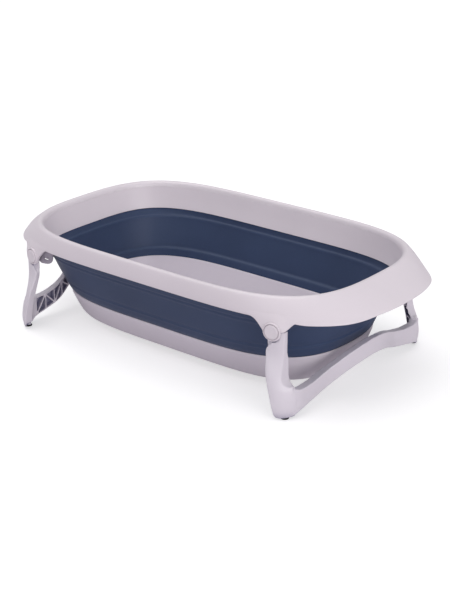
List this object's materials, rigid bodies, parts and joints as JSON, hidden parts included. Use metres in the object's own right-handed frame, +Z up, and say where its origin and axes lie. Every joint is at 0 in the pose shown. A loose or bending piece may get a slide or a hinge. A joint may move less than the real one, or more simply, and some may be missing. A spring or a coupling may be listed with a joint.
{
  "type": "baby bathtub",
  "caption": "Foldable baby bathtub: hard oval rim and base tray joined by a soft creased wall, on two folding leg frames, with a drain stopper.",
  "frame": {"origin": "floor level under the centre of the tub, at the bottom of the feet", "axes": "+X along the tub's length, +Z up, -Y towards the front long side"},
  "size_m": [0.822, 0.4436, 0.207],
  "materials": {
    "shell_white": "satin moulded polypropylene, pale lilac white",
    "tray_white": "satin moulded polypropylene, pale lilac white",
    "soft_wall": "soft matte thermoplastic elastomer, slate blue",
    "foot_rubber": "matte black rubber",
    "seal_rubber": "soft translucent grey rubber",
    "hinge_grey": "fine-textured grey nylon",
    "screw_steel": "bright zinc"
  },
  "bodies": {
    "frame": {"rim_cover": "shell_white", "inner_skirt": "shell_white", "collapsible_wall": "soft_wall", "hinge_cheek_front_right": "hinge_grey", "pivot_pin_front_right": "screw_steel", "pivot_cap_front_right": "shell_white", "cheek_screw_inner_front_right": "screw_steel", "cheek_screw_outer_front_right": "screw_steel", "hinge_cheek_back_right": "hinge_grey", "pivot_pin_back_right": "screw_steel", "pivot_cap_back_right": "shell_white", "cheek_screw_inner_back_right": "screw_steel", "cheek_screw_outer_back_right": "screw_steel", "hinge_cheek_front_left": "hinge_grey", "pivot_pin_front_left": "screw_steel", "pivot_cap_front_left": "shell_white", "cheek_screw_inner_front_left": "screw_steel", "cheek_screw_outer_front_left": "screw_steel", "hinge_cheek_back_left": "hinge_grey", "pivot_pin_back_left": "screw_steel", "pivot_cap_back_left": "shell_white", "cheek_screw_inner_back_left": "screw_steel", "cheek_screw_outer_back_left": "screw_steel"},
    "base": {"base_tray": "tray_white", "drain_seal": "seal_rubber"},
    "stopper": {"drain_stopper": "hinge_grey"},
    "leg_right": {"leg_frame_right": "shell_white", "foot_pad_front_right": "foot_rubber", "foot_pad_back_right": "foot_rubber"},
    "leg_left": {"leg_frame_left": "shell_white", "foot_pad_front_left": "foot_rubber", "foot_pad_back_left": "foot_rubber"}
  },
  "joints": [
    {"name": "collapse", "type": "slide", "parent": "frame", "child": "base", "axis": [0, 0, 1], "range_m": [0, 0.118], "deforming": ["collapsible_wall"]},
    {"name": "right_leg_fold", "type": "hinge", "parent": "frame", "child": "leg_right", "pos_m": [0.2845, 0, 0.15], "axis": [0, 1, 0], "range_deg": [0, 90]},
    {"name": "left_leg_fold", "type": "hinge", "parent": "frame", "child": "leg_left", "pos_m": [-0.2845, 0, 0.15], "axis": [0, -1, 0], "range_deg": [0, 90]},
    {"name": "stopper_pull", "type": "slide", "parent": "base", "child": "stopper", "axis": [0, 0, 1], "range_m": [0, 0.04]}
  ],
  "couplings": [
    {"joint": "right_leg_fold", "follows": "collapse", "rad_per_m": 13.31},
    {"joint": "left_leg_fold", "follows": "collapse", "rad_per_m": 13.31}
  ]
}
